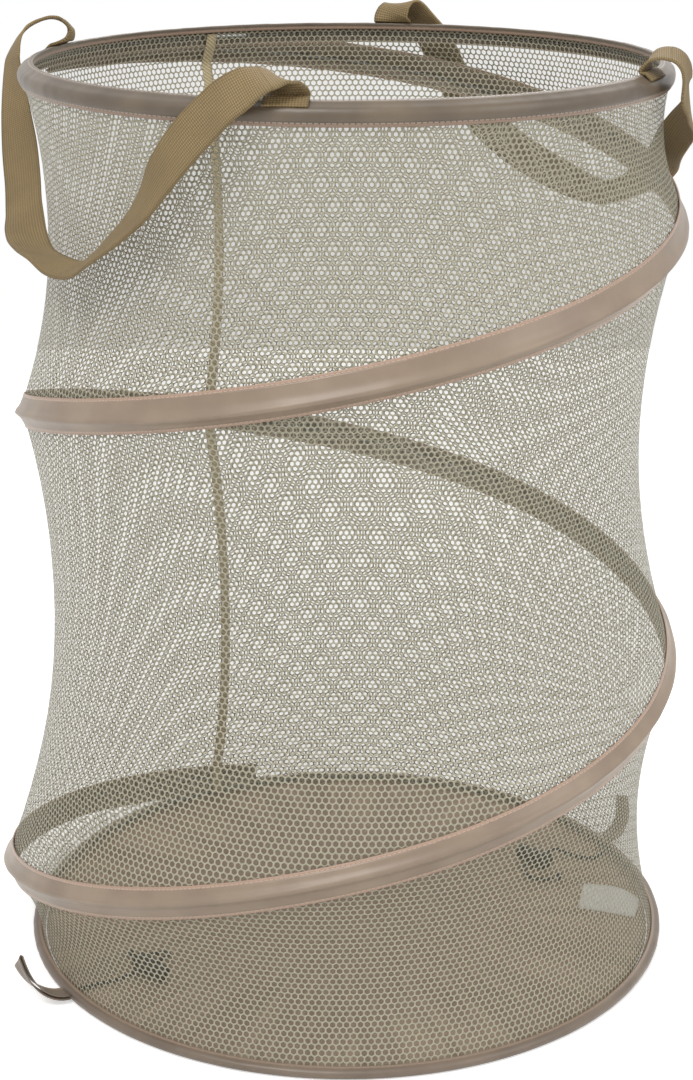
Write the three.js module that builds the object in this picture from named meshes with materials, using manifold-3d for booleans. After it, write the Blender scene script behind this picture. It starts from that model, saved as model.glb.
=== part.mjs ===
// Pop-up laundry hamper: a mesh wall held open by two spring hoops and one spiral wire in sewn casings.
// Millimetres, +Z up, origin at the centre of the base's underside, -Y towards the viewer.
import * as THREE from "three";
import Module from "manifold-3d";
import { mergeVertices } from "three/addons/utils/BufferGeometryUtils.js";

const wasm = await Module();
wasm.setup();

// Driving dimensions
const degree = Math.PI / 180;
const height = 585.3;
const rim_radius = 200;
const base_radius = 216;
const gap = 0.3;
const shortest_step = 4;
const turn_steps = 40;
const step_angle = (2 * Math.PI) / turn_steps;

// Spring wire and the crimped sleeves that close the hoops
const wire_radius = 1.1;
const wire_sides = 6;
const sleeve_clearance = 0.2;
const sleeve_wall = 0.3;
const sleeve_length = 22;
const sleeve_sides = 12;
const sleeve_radius = wire_radius + sleeve_clearance + sleeve_wall;

// Mesh wall and its side seam
const wall_thickness = 1;
const waist_steps = 4;
const waist_share = 0.075;
const seam_angle = 118.5 * degree;
const seam_width = 7.5;
const seam_thickness = 0.8;

// Spiral, by eighths of its run down from the rim to the base
const seam_steps = 7;
const start_angle = seam_angle + seam_steps * step_angle;
const spiral_turns = 2.25;
const spiral_steps = Math.round(spiral_turns * turn_steps);
const spiral_radius_shares = [0.987, 1.026, 1.013, 0.949, 0.989, 1.015, 1.003, 0.988, 1.056, 0.944];
const spiral_height_shares = [0.992, 0.958, 0.841, 0.733, 0.621, 0.481, 0.349, 0.23, 0.089, 0.006];
const tape_width = 22;
const tape_skin = 1;
const tape_bulge = 6;
const tape_ridge_shares = [0.6, 0.61, 0.66, 0.7, 0.54, 0.5, 0.46, 0.42, 0.5, 0.5];

// Rim casing: shares of its width in from the bead, and of its height down from the hem
const casing_skin = 0.9;
const rim_casing_width = 9.2;
const rim_casing_height = 13.3;
const rim_outline_shares = [
  [0.891, 0.293],
  [1, 0],
  [0.674, 0],
  [0.228, 0.256],
  [0.071, 0.323],
  [0, 0.564],
  [0.071, 0.805],
  [0.239, 1],
];
const hem_ease = 0.4;

// Base: shares of the binding's width in from its outside, and of its height up from the floor
const panel_thickness = 1.6;
const binding_ease = 0.9;
const binding_room = 1.3;
const binding_turn_in = 1.5;
const binding_outline_shares = [
  [0.306, 0.944],
  [0.082, 0.778],
  [0, 0.46],
  [0.059, 0.159],
  [0.21, 0],
  [1, 0],
];

// Webbing handles
const webbing_width = 25;
const webbing_thickness = 1.6;
const fold_inset = 8.5;
const fold_step = 5.5;
const sewn_lean = -40 * degree;
const sewn_steps = 3;
const handle_reach = 15;
const handle_drop = 108;
const left_handle_angle = -149.5 * degree;
const left_half_span = 50 * degree;
const right_handle_angle = 27.75 * degree;
const right_half_span = 52.75 * degree;
// From the sewn end over the rim, step by step: degrees of bend, and tilt of the crease
const left_first_turns = [
  [44, 43],
  [52, 29],
  [47, 24],
  [12, 22],
  [13, 34],
  [20, 44],
  [8, 49],
  [4, 53],
];
const left_second_turns = [
  [0, 0],
  [50, 36],
  [44, 15],
  [25, 18],
  [24, 15],
  [14, 14],
  [7, 16],
  [13, 18],
  [15, 9],
  [10, -15],
  [9, -30],
  [9, -37],
];
const right_first_turns = [
  [36, 45],
  [45, 14],
  [48, 22],
  [42, 17],
  [22, 24],
  [4, 22],
  [-2, 14],
  [4, 20],
  [8, 35],
  [8, 45],
];
const right_second_turns = [
  [50, 10],
  [45, 12],
  [30, 10],
  [22, 8],
  [28, 8],
  [26, 10],
  [16, 14],
  [8, 14],
];
// Round the half span, out past the rim, down the drop, and twist from flat to edge-on
const left_loop_shares = [
  [0.71, 0.607, 0.192, 0.16],
  [0.611, 0.493, 0.382, 0.24],
  [0.523, 0.22, 0.56, 0.42],
  [0.421, 0.08, 0.714, 0.57],
  [0.308, 0.013, 0.845, 0.64],
  [0.2, -0.08, 0.952, 0.68],
  [0.095, -0.047, 0.997, 0.88],
  [-0.04, -0.027, 0.981, 1.05],
  [-0.175, 0.04, 0.968, 1.08],
  [-0.322, 0.013, 0.921, 0.92],
  [-0.461, -0.027, 0.826, 0.68],
  [-0.587, 0.067, 0.695, 0.7],
  [-0.696, 0.36, 0.532, 0.74],
  [-0.772, 0.7, 0.327, 0.62],
];
const right_loop_shares = [
  [0.79, 1.187, 0.392, 0],
  [0.685, 1.1, 0.609, 0],
  [0.58, 1.133, 0.762, 0],
  [0.455, 1.133, 0.873, 0.03],
  [0.34, 1.133, 0.943, 0.1],
  [0.235, 1.167, 0.98, 0.28],
  [0.145, 1.233, 0.975, 0.52],
  [0.065, 1.333, 0.938, 0.72],
  [-0.005, 1.4, 0.878, 0.7],
  [-0.07, 1.547, 0.785, 0.46],
  [-0.13, 1.487, 0.706, 0.38],
  [-0.205, 1.147, 0.623, 0.34],
  [-0.29, 0.847, 0.549, 0.3],
  [-0.39, 0.753, 0.456, 0.24],
  [-0.49, 0.7, 0.387, 0.2],
  [-0.59, 0.667, 0.331, 0.17],
  [-0.69, 0.633, 0.285, 0.14],
  [-0.78, 0.653, 0.234, 0.12],
  [-0.855, 0.7, 0.188, 0.1],
  [-0.905, 0.767, 0.146, 0.1],
];

// Closure cords lying on the base, each through a spring cord lock
const cord_radius = 1.25;
const cord_sides = 8;
const cord_steps = 32;
const knot_radius = 2.9;
const lock_radius = 6.5;
const lock_length = 17;
const lock_floor = 2;
const lock_skin = 2.1;
const lock_round = 1.2;
const lock_sides = 16;
const button_travel = 4;
const button_head_inset = 0.9;
const button_head_length = 4.8;
const stem_end = 1.6;
const cord_place_share = 0.56;
const lock_spring_radius = 2.8;
const lock_spring_wire = 0.3;
const lock_spring_turns = 2;
const curl_steps = 8;
const curl_sides = 5;
const left_lock_place = [-130.4, -92.3];
const left_lock_turn = -133.3 * degree;
const right_lock_place = [138.1, 62.2];
const right_lock_turn = 48.8 * degree;
// From the base seam through the lock to the knot: along the lock's hole, along its barrel, and up
const left_cord_route = [
  [44.5, -17, 3.2],
  [38, -15.3, 3.2],
  [31, -12, 3.5],
  [26, -7, 4.9],
  [22.5, -2.6, 7],
  [19.5, -0.4, 8.2],
  [17, 0, 8.4],
  [10, 0, 8.4],
  [0, 0, 8.4],
  [-10, 0, 8.4],
  [-16, 0, 8.4],
  [-19.5, -1, 8.1],
  [-22.3, -4.5, 7],
  [-22.6, -9.5, 5.2],
  [-19.5, -14.5, 3.7],
  [-15, -18.8, 3.2],
  [-10.5, -22.3, 3.2],
];
const right_cord_route = [
  [49.5, -22.6, 3.2],
  [43, -25, 3.2],
  [36, -24.5, 3.2],
  [30, -20.5, 3.5],
  [26.3, -14, 4.4],
  [24, -7, 6],
  [21.5, -2, 7.6],
  [19, -0.2, 8.3],
  [17, 0, 8.4],
  [10, 0, 8.4],
  [0, 0, 8.4],
  [-10, 0, 8.4],
  [-16, 0, 8.4],
  [-19.5, -1, 8.1],
  [-22.3, -4.5, 7],
  [-22.6, -9.5, 5.2],
  [-19.5, -14.5, 3.7],
  [-15, -18.8, 3.2],
  [-10.5, -22.3, 3.2],
];

// Tape tabs folded out of the base binding, and the bare care label sewn inside it
const tab_width = 12;
const tab_thickness = 0.8;
const tab_fold = 0.8;
const tab_steps = 5;
const left_tab_angle = -146.3 * degree;
const left_tab_reach = { out: 21.4, side: -24.5, up: 18.6 };
const right_tab_angle = 28.2 * degree;
const right_tab_reach = { out: 20, side: 9, up: 25 };
const label_length = 40;
const label_width = 25;
const label_thickness = 0.4;
const label_inset = 4.6;
const label_angle = -0.5 * degree;
const label_turn = 166 * degree;
// Along the label, up from the panel in its own widths, and sideways lean
const label_shares = [
  [0, 0.03, 0],
  [0.17, 0.11, 0.2],
  [0.45, 0.19, 0.34],
  [0.75, 0.21, 0.32],
  [1, 0.2, 0.28],
];

// Levels and radii worked out from the sizes above
const rim_outline = rim_outline_shares.map(([across, down]) => ({
  r: rim_radius - across * rim_casing_width,
  z: height - down * rim_casing_height,
}));
const [, hem, ledge_top, ledge_foot, , bead] = rim_outline;
const rim_stitch = rim_outline.at(-1);
const rim_line = { r: rim_stitch.r - casing_skin - gap, z: rim_stitch.z - gap };
const wall_top = {
  r: hem.r + casing_skin + gap + hem_ease + wall_thickness,
  z: hem.z - casing_skin - gap,
};
const rim_wire = { r: bead.r - casing_skin - gap - sleeve_radius, z: bead.z };
const base_wire = {
  r: base_radius - casing_skin - gap - sleeve_radius,
  z: casing_skin + gap + sleeve_radius,
};
const binding_height = 2 * base_wire.z + binding_ease;
const base_wall_radius = base_wire.r - sleeve_radius - gap - binding_room;
const base_line = { r: base_wall_radius, z: binding_height + gap };
const wall_foot = { r: base_wall_radius, z: casing_skin + gap };
const binding_width = base_radius - base_wall_radius + wall_thickness + binding_turn_in;
const panel_radius = base_radius - binding_width - gap;
const seat_lift = gap + webbing_thickness / 2;
const lock_level = panel_thickness + gap + lock_radius;
const cord_place = cord_place_share * lock_length;
const hole_radius = cord_radius + gap;
const bore_radius = lock_radius - lock_skin;

const polar = (r, angle, z) => new THREE.Vector3(r * Math.cos(angle), r * Math.sin(angle), z);
const column_angle = (step) => start_angle - step * step_angle;
const mix = THREE.MathUtils.lerp;

// A closed body through sections that each run out along one side and back along the other.
function loft(sections, capped = true) {
  const corners = [];
  const add = (a, b, c) => {
    const shortest = Math.min(a.distanceTo(b), b.distanceTo(c), c.distanceTo(a));
    if (shortest > gap / 100) corners.push(a, b, c);
  };
  const count = sections[0].length;
  for (let s = 0; s + 1 < sections.length; s += 1) {
    const [here, there] = [sections[s], sections[s + 1]];
    for (let k = 0; k < count; k += 1) {
      const next = (k + 1) % count;
      const [near, far] = k < count / 2 ? [k, next] : [next, k];
      add(here[k], here[next], there[far]);
      add(here[near], there[next], there[k]);
    }
  }
  if (capped) {
    for (const [section, last] of [[sections[0], false], [sections.at(-1), true]]) {
      for (let k = 0; k + 1 < count / 2; k += 1) {
        const quad = [section[k], section[k + 1], section[count - 2 - k], section[count - 1 - k]];
        if (!last) quad.reverse();
        add(quad[0], quad[1], quad[2]);
        add(quad[0], quad[2], quad[3]);
      }
    }
  }
  let volume = 0;
  for (let i = 0; i < corners.length; i += 3) {
    volume += corners[i].dot(corners[i + 1].clone().cross(corners[i + 2]));
  }
  if (volume < 0) corners.reverse();
  const geometry = new THREE.BufferGeometry().setFromPoints(corners);
  geometry.computeVertexNormals();
  return geometry;
}

// The other side of a skin whose outside is an open outline, to the right of its run.
function inset(outline, skin) {
  const normals = outline.slice(1).map((point, i) => {
    const along = new THREE.Vector2(point.r - outline[i].r, point.z - outline[i].z).normalize();
    return new THREE.Vector2(along.y, -along.x);
  });
  return outline.map((point, i) => {
    const before = normals[Math.max(i - 1, 0)];
    const after = normals[Math.min(i, normals.length - 1)];
    const middle = before.clone().add(after).normalize();
    const reach = skin / middle.dot(after);
    return { r: point.r + middle.x * reach, z: point.z + middle.y * reach };
  });
}

// A body of revolution round the Z axis whose flat faces line up with the wall's.
function revolve(outline, closed = true) {
  const profile = outline.map(({ r, z }) => new THREE.Vector2(r, z));
  if (THREE.ShapeUtils.area(profile) < 0) profile.reverse();
  if (closed) profile.push(profile[0]);
  return new THREE.LatheGeometry(profile, turn_steps, start_angle + Math.PI / 2).rotateX(Math.PI / 2);
}

// A casing skin folded to an outline, all round a hoop.
function hoop_casing(outline) {
  return revolve([...outline, ...inset(outline, casing_skin).reverse()]);
}

// A path through stations, one step between each two.
class StationPath extends THREE.Curve {
  constructor(stations) {
    super();
    this.stations = stations;
  }
  getUtoTmapping(u) {
    return u;
  }
  getPoint(t) {
    const last = this.stations.length - 1;
    const place = THREE.MathUtils.clamp(t, 0, 1) * last;
    const index = Math.min(Math.floor(place), last - 1);
    return this.stations[index].clone().lerp(this.stations[index + 1], place - index);
  }
}

function tube(path, radius, sides, steps) {
  const corners = Array.from({ length: sides }, (_, i) => {
    const turn = (2 * Math.PI * i) / sides;
    return new THREE.Vector2(radius * Math.cos(turn), radius * Math.sin(turn));
  });
  return new THREE.ExtrudeGeometry(new THREE.Shape(corners), {
    steps,
    bevelEnabled: false,
    extrudePath: path,
  });
}

// A flat strip through stations, each a place and the direction of its width.
function ribbon(stations, width, thickness) {
  const sections = stations.map(({ place, across }, i) => {
    const before = stations[Math.max(i - 1, 0)].place;
    const after = stations[Math.min(i + 1, stations.length - 1)].place;
    const along = after.clone().sub(before).normalize();
    const side = across.clone().addScaledVector(along, -across.dot(along)).normalize();
    const face = along.cross(side);
    const corner = (a, b) =>
      place.clone().addScaledVector(side, (a * width) / 2).addScaledVector(face, (b * thickness) / 2);
    return [corner(1, 1), corner(-1, 1), corner(-1, -1), corner(1, -1)];
  });
  return loft(sections);
}

function solid(geometry) {
  const bare = geometry.clone();
  bare.deleteAttribute("normal");
  bare.deleteAttribute("uv");
  const merged = mergeVertices(bare);
  return new wasm.Manifold(
    new wasm.Mesh({
      numProp: 3,
      vertProperties: merged.attributes.position.array,
      triVerts: new Uint32Array(merged.index.array),
    }),
  );
}

function cut(geometry, tool) {
  const mesh = solid(geometry).subtract(solid(tool)).getMesh();
  const left = new THREE.BufferGeometry();
  left.setAttribute("position", new THREE.BufferAttribute(mesh.vertProperties, 3));
  left.setIndex(new THREE.BufferAttribute(mesh.triVerts, 1));
  left.computeVertexNormals();
  return left;
}

// Spiral line, where the wall meets the middle of the spiral casing
const spiral_guide = new THREE.SplineCurve(
  spiral_radius_shares.map((share, i) => {
    const straight = mix(rim_radius, base_radius, i / (spiral_radius_shares.length - 1));
    return new THREE.Vector2(share * straight, spiral_height_shares[i] * height);
  }),
);

function spiral_at(step) {
  const { x, y } = spiral_guide.getPoint(Math.min(step / spiral_steps, 1));
  return { r: x, z: y };
}

const ridge_guide = new THREE.SplineCurve(tape_ridge_shares.map((share, i) => new THREE.Vector2(share, i)));

// The casing's two sewn edges, which run out under the rim and on the base binding.
function tape_edges(step) {
  if (step > spiral_steps) return [base_line, base_line];
  const middle = spiral_at(step);
  return [tape_width / 2, -tape_width / 2].map((rise) => {
    const z = middle.z + rise;
    if (z > rim_line.z - shortest_step) return rim_line;
    if (z < base_line.z + shortest_step) return base_line;
    return { r: middle.r, z };
  });
}

// The wall draws in like a waist between two sewn edges.
function waist(from, to) {
  return Array.from({ length: waist_steps }, (_, k) => {
    const share = (k + 1) / waist_steps;
    const draw = 4 * share * (1 - share) * waist_share * (from.z - to.z);
    return { r: mix(from.r, to.r, share) - draw, z: mix(from.z, to.z, share) };
  });
}

function wall_rows(column) {
  const rows = [wall_top, rim_line];
  for (let step = column; step < column + Math.ceil(spiral_turns + 1) * turn_steps; step += turn_steps) {
    const [upper, lower] = tape_edges(step);
    rows.push(...waist(rows.at(-1), upper), lower);
  }
  rows.push(wall_foot);
  return rows;
}

function mesh_wall() {
  const sections = Array.from({ length: turn_steps + 1 }, (_, column) => {
    const angle = column_angle(column);
    const rows = wall_rows(column);
    const outside = rows.map(({ r, z }) => polar(r, angle, z));
    const inside = rows.map(({ r, z }) => polar(r - wall_thickness, angle, z));
    return [...outside, ...inside.reverse()];
  });
  return loft(sections, false);
}

// Side seam: a tape up the inside of the wall that follows the two faces beside one fold.
function wall_seam_tape() {
  const side_share = seam_width / (4 * rim_radius * Math.sin(step_angle / 2));
  const rows_at = [seam_steps - 1, seam_steps, seam_steps + 1].map(wall_rows);
  const point = (side, row, depth) => {
    const { r, z } = rows_at[side][row];
    return polar(r - depth, column_angle(seam_steps + side - 1), z);
  };
  const across = (row, next, share, depth) => {
    const [left, fold, right] = [0, 1, 2].map((side) =>
      point(side, row, depth).lerp(point(side, next, depth), share),
    );
    return [fold.clone().lerp(left, side_share), fold, fold.clone().lerp(right, side_share)];
  };
  const seat = wall_thickness + gap;
  const section = (row, next, share) => [
    ...across(row, next, share, seat),
    ...across(row, next, share, seat + seam_thickness).reverse(),
  ];
  const last = rows_at[1].length - 1;
  const hem_foot = rim_outline[0];
  const top_share = (wall_top.z - hem_foot.z + gap) / (wall_top.z - rim_line.z);
  const foot_share = (base_line.z - panel_thickness - 2 * gap) / (base_line.z - wall_foot.z);
  const sections = [section(0, 1, top_share)];
  for (let row = 1; row < last; row += 1) sections.push(section(row, row, 0));
  sections.push(section(last - 1, last, foot_share));
  return loft(sections);
}

// Spiral casing: a tape tented over the wire, with both edges sewn to the wall
function tape_tent(step) {
  const [upper, lower] = tape_edges(step);
  const middle = spiral_at(step);
  const tall = upper.z - lower.z;
  const full = Math.min((2 * tall) / tape_width, 1);
  const half = (wire_radius + gap + tape_skin) * full;
  const ridge_share = ridge_guide.getPoint(step / spiral_steps).x;
  const planned = middle.z + tape_width * (0.5 - ridge_share);
  const z = THREE.MathUtils.clamp(planned, lower.z + half, upper.z - half);
  const ridge = { r: mix(upper.r, lower.r, (upper.z - z) / tall) + tape_bulge * full, z };
  const seat = gap + tape_skin;
  const outside = [
    { r: upper.r + seat, z: upper.z },
    { r: ridge.r, z: ridge.z + half },
    { r: ridge.r, z: ridge.z - half },
    { r: lower.r + seat, z: lower.z },
  ];
  const inside = [
    { r: upper.r + gap, z: upper.z },
    ...inset(outside, tape_skin).slice(1, -1),
    { r: lower.r + gap, z: lower.z },
  ];
  return { tall, full, ridge, section: [...outside, ...inside.reverse()] };
}

const spiral_stations = Array.from({ length: spiral_steps + 1 }, (_, step) => step);

function spiral_casing() {
  const sections = spiral_stations
    .filter((step) => tape_tent(step).tall > shortest_step)
    .map((step) => tape_tent(step).section.map(({ r, z }) => polar(r, column_angle(step), z)));
  return loft(sections);
}

function spiral_wire() {
  const depth = tape_skin + gap + wire_radius;
  const places = spiral_stations
    .filter((step) => tape_tent(step).full === 1)
    .map((step) => {
      const { ridge } = tape_tent(step);
      return polar(ridge.r - depth, column_angle(step), ridge.z);
    });
  print_least_gap("spiral_wire", places, wire_radius, turn_steps / 2);
  return tube(new StationPath(places), wire_radius, wire_sides, places.length - 1);
}

// The least gap between a wound wire's turns, measured on its points.
function print_least_gap(name, places, radius, apart) {
  let least = Infinity;
  places.forEach((a, i) => {
    for (let j = i + Math.ceil(apart); j < places.length; j += 1) {
      least = Math.min(least, a.distanceTo(places[j]) - 2 * radius);
    }
  });
  console.log(`${name}: least gap to itself ${least.toFixed(2)} mm`);
}

// Hoops
function hoop_wire({ r, z }) {
  const ring = new THREE.TorusGeometry(r, wire_radius, wire_sides, turn_steps);
  return ring.rotateZ(start_angle).translate(0, 0, z);
}

function hoop_sleeve({ r, z }) {
  const bore = wire_radius + sleeve_clearance;
  const half = sleeve_length / 2;
  const profile = [
    [bore, -half],
    [sleeve_radius, -half],
    [sleeve_radius, half],
    [bore, half],
    [bore, -half],
  ].map(([x, y]) => new THREE.Vector2(x, y));
  const middle = column_angle(seam_steps + 0.5);
  const place = polar(r * Math.cos(step_angle / 2), middle, z);
  return new THREE.LatheGeometry(profile, sleeve_sides).rotateZ(middle).translate(place.x, place.y, place.z);
}

function base_binding() {
  const lip = { r: base_wall_radius + gap + casing_skin / 4, z: binding_height };
  const outline = binding_outline_shares.map(([across, up]) => ({
    r: base_radius - across * binding_width,
    z: up * binding_height,
  }));
  return hoop_casing([lip, ...outline]);
}

function base_panel() {
  const outline = [
    { r: 0, z: 0 },
    { r: panel_radius, z: 0 },
    { r: panel_radius, z: panel_thickness },
    { r: 0, z: panel_thickness },
  ];
  return revolve(outline, false);
}

// Handles
const tangent = (angle) => polar(1, angle + Math.PI / 2, 0);

// Webbing bends only across its flat: each short step turns about a crease tilted from its width.
function fold(angle, toward, turns) {
  const across = tangent(angle).multiplyScalar(toward);
  const along = new THREE.Vector3(0, 0, 1).applyAxisAngle(across, toward * sewn_lean);
  const place = polar(rim_radius - fold_inset, angle, height + webbing_thickness);
  const stations = [{ place: place.clone(), across: across.clone() }];
  for (const [bend, tilt] of turns) {
    const crease = across.clone().multiplyScalar(Math.cos(tilt * degree));
    crease.addScaledVector(along, Math.sin(tilt * degree));
    across.applyAxisAngle(crease, toward * bend * degree);
    along.applyAxisAngle(crease, toward * bend * degree);
    place.addScaledVector(along, fold_step);
    if (stations.length > 1) stations.at(-1).across.add(across);
    stations.push({ place: place.clone(), across: across.clone() });
  }
  return stations;
}

// The sewn end and the loop part in the middle of one straight step.
function part_strap(stations) {
  const [from, to] = stations.slice(sewn_steps, sewn_steps + 2);
  const run = to.place.clone().sub(from.place).normalize();
  const join = (reach) => ({
    place: from.place.clone().lerp(to.place, 0.5).addScaledVector(run, reach),
    across: from.across.clone().normalize().add(to.across.clone().normalize()),
  });
  return {
    sewn: [...stations.slice(0, sewn_steps + 1), join(-gap / 2)],
    hanging: [join(gap / 2), ...stations.slice(sewn_steps + 1)],
  };
}

// A sewn end lies over the rim's ledge and rises into the fold where the loop starts.
function handle_end(angle, toward, turns) {
  const [, seat_top, seat_foot] = inset([hem, ledge_top, ledge_foot], -seat_lift);
  const seat = [seat_foot, seat_top].map(({ r, z }) => ({
    place: polar(r, angle, z),
    across: tangent(angle).multiplyScalar(toward),
  }));
  const { sewn } = part_strap(fold(angle, toward, turns));
  return ribbon([...seat, ...sewn], webbing_width, webbing_thickness);
}

function handle_loop({ middle, half_span, first_turns, second_turns, shares }) {
  const start = part_strap(fold(middle + half_span, -1, first_turns)).hanging;
  const end = part_strap(fold(middle - half_span, 1, second_turns)).hanging.reverse();
  for (const { across } of [...start, ...end]) across.negate();
  const rows = shares.map(([round, out, down, twist]) => {
    const angle = middle + round * half_span;
    const place = polar(rim_radius + out * handle_reach, angle, height - down * handle_drop);
    return { place, outward: polar(1, angle, 0), turn: (twist * Math.PI) / 2 };
  });
  const places = [start.at(-1), ...rows, end[0]].map(({ place }) => place);
  const hanging = rows.map(({ place, outward, turn }, i) => {
    const along = places[i + 2].clone().sub(places[i]);
    const flat = along.cross(outward).normalize();
    return { place, across: flat.multiplyScalar(-Math.cos(turn)).addScaledVector(outward, Math.sin(turn)) };
  });
  return ribbon([...start, ...hanging, ...end], webbing_width, webbing_thickness);
}

// Closure: an elastic cord through a barrel lock whose sprung button pinches it
function lock_frame([x, y], turn) {
  const group = new THREE.Group();
  group.position.set(x, y, 0);
  group.rotation.z = turn;
  return group;
}

const lathe_on = (profile, sides) => {
  const points = profile.map(([r, y]) => new THREE.Vector2(r, y));
  return new THREE.LatheGeometry(points, sides).translate(0, -cord_place, lock_level);
};

// A cutter along the cord, round at both ends of its run along the barrel.
function cord_slot(run) {
  const shape = new THREE.Shape();
  shape.absarc(run, 0, hole_radius, -Math.PI / 2, Math.PI / 2);
  shape.absarc(0, 0, hole_radius, Math.PI / 2, 1.5 * Math.PI);
  const slot = new THREE.ExtrudeGeometry(shape, {
    depth: 4 * lock_radius,
    curveSegments: cord_sides,
    bevelEnabled: false,
  });
  const turned = new THREE.Matrix4().makeBasis(
    new THREE.Vector3(0, 1, 0),
    new THREE.Vector3(0, 0, 1),
    new THREE.Vector3(1, 0, 0),
  );
  return slot.applyMatrix4(turned).translate(-2 * lock_radius, 0, lock_level);
}

function lock_barrel() {
  const shell = lathe_on(
    [
      [0, 0],
      [lock_radius - lock_round, 0],
      [lock_radius, lock_round],
      [lock_radius, lock_length - lock_round],
      [lock_radius - lock_round, lock_length],
      [bore_radius, lock_length],
      [bore_radius, lock_floor],
      [0, lock_floor],
    ],
    lock_sides,
  );
  return cut(shell, cord_slot(gap / 4));
}

const stem_start = cord_place - hole_radius - stem_end;

function lock_button() {
  const stem = bore_radius - gap;
  const head = lock_radius - button_head_inset;
  const head_start = lock_length + button_travel + gap;
  const head_end = head_start + button_head_length;
  const body = lathe_on(
    [
      [0, stem_start],
      [stem, stem_start],
      [stem, head_start],
      [head, head_start],
      [head, head_end - lock_round],
      [head - lock_round, head_end],
      [0, head_end],
    ],
    lock_sides,
  );
  return cut(body, cord_slot(button_travel));
}

function lock_spring(name) {
  const start = lock_floor + gap + lock_spring_wire - cord_place;
  const end = stem_start - gap - lock_spring_wire - cord_place;
  const steps = lock_spring_turns * curl_steps;
  const places = Array.from({ length: steps + 1 }, (_, i) => {
    const turn = (2 * Math.PI * i) / curl_steps;
    const x = lock_spring_radius * Math.cos(turn);
    const z = lock_level + lock_spring_radius * Math.sin(turn);
    return new THREE.Vector3(x, mix(start, end, i / steps), z);
  });
  print_least_gap(name, places, lock_spring_wire, curl_steps / 2);
  return tube(new StationPath(places), lock_spring_wire, curl_sides, steps);
}

const cord_path = (route) =>
  new THREE.CatmullRomCurve3(route.map(([x, y, z]) => new THREE.Vector3(x, y, z)), false, "centripetal");

function closure_cord(route) {
  return tube(cord_path(route), cord_radius, cord_sides, cord_steps);
}

function cord_knot(route) {
  const [x, y] = route.at(-1);
  const [from_x, from_y] = route.at(-2);
  const run = Math.hypot(x - from_x, y - from_y);
  const reach = (knot_radius + 2 * gap) / run;
  const knot = new THREE.SphereGeometry(knot_radius, cord_sides, curl_sides);
  return knot.translate(
    x + (x - from_x) * reach,
    y + (y - from_y) * reach,
    panel_thickness + gap + knot_radius,
  );
}

// A tab is one tape folded back on itself at its tip, with both ends sewn into the binding.
function tape_tab(angle, reach) {
  const root = polar(base_radius + gap + tab_thickness / 2, angle, binding_height / 2 + tab_fold);
  const outward = polar(1, angle, 0);
  const sideways = tangent(angle);
  const place = (share) =>
    root
      .clone()
      .addScaledVector(outward, reach.out * Math.sin((share * Math.PI) / 2))
      .addScaledVector(sideways, reach.side * share * share)
      .add(new THREE.Vector3(0, 0, reach.up * share * share));
  const layer = (side) =>
    Array.from({ length: tab_steps + 1 }, (_, i) => {
      const share = i / tab_steps;
      const along = place(share + 1 / tab_steps).sub(place(share)).normalize();
      const across = sideways.clone().addScaledVector(along, -sideways.dot(along)).normalize();
      const face = along.clone().cross(across);
      const centre = place(share).addScaledVector(face, side * tab_fold);
      return { place: centre, across, along };
    });
  const [lower, upper] = [layer(1), layer(-1)];
  const tip = lower.at(-1);
  const fold = tip.place.clone().lerp(upper.at(-1).place, 0.5).addScaledVector(tip.along, tab_fold);
  const stations = [...lower, { place: fold, across: tip.across }, ...upper.reverse()];
  return ribbon(stations, tab_width, tab_thickness);
}

function care_label() {
  const seat = panel_thickness + gap + label_thickness / 2;
  const root = polar(panel_radius - label_inset, label_angle, seat);
  const inward = polar(1, label_turn, 0);
  const sideways = tangent(label_turn).negate();
  const stations = label_shares.map(([run, up, lean]) => ({
    place: root
      .clone()
      .addScaledVector(inward, run * label_length)
      .add(new THREE.Vector3(0, 0, up * label_width)),
    across: sideways.clone().add(new THREE.Vector3(0, 0, lean)),
  }));
  return ribbon(stations, label_width, label_thickness);
}

// Materials
const material = (color, roughness, metalness = 0) =>
  new THREE.MeshStandardMaterial({ color, roughness, metalness, side: THREE.DoubleSide });

const group = new THREE.Group();

function add(name, geometry, finish, parent = group) {
  const mesh = new THREE.Mesh(geometry, finish);
  mesh.name = name;
  parent.add(mesh);
}

// Base
add("base_panel", base_panel(), material(0x8d7d6e, 0.85));
add("base_binding", base_binding(), material(0x7d6f66, 0.6));
add("base_hoop_wire", hoop_wire(base_wire), material(0x8f9194, 0.35, 1));
add("base_hoop_sleeve", hoop_sleeve(base_wire), material(0xb4b6b8, 0.4, 1));
add("left_tape_tab", tape_tab(left_tab_angle, left_tab_reach), material(0x9c8a77, 0.6));
add("right_tape_tab", tape_tab(right_tab_angle, right_tab_reach), material(0x9c8a77, 0.6));
add("care_label", care_label(), material(0xe9e9e4, 0.6));

// Wall and spiral
add("mesh_wall", mesh_wall(), material(0xc9c7b4, 0.8));
add("wall_seam_tape", wall_seam_tape(), material(0xa99b78, 0.8));
add("spiral_wire", spiral_wire(), material(0x8f9194, 0.35, 1));
add("spiral_casing", spiral_casing(), material(0xa8907c, 0.5));

// Rim
add("rim_casing", hoop_casing(rim_outline), material(0x9a8778, 0.5));
add("top_hoop_wire", hoop_wire(rim_wire), material(0x8f9194, 0.35, 1));
add("top_hoop_sleeve", hoop_sleeve(rim_wire), material(0xb4b6b8, 0.4, 1));

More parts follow.
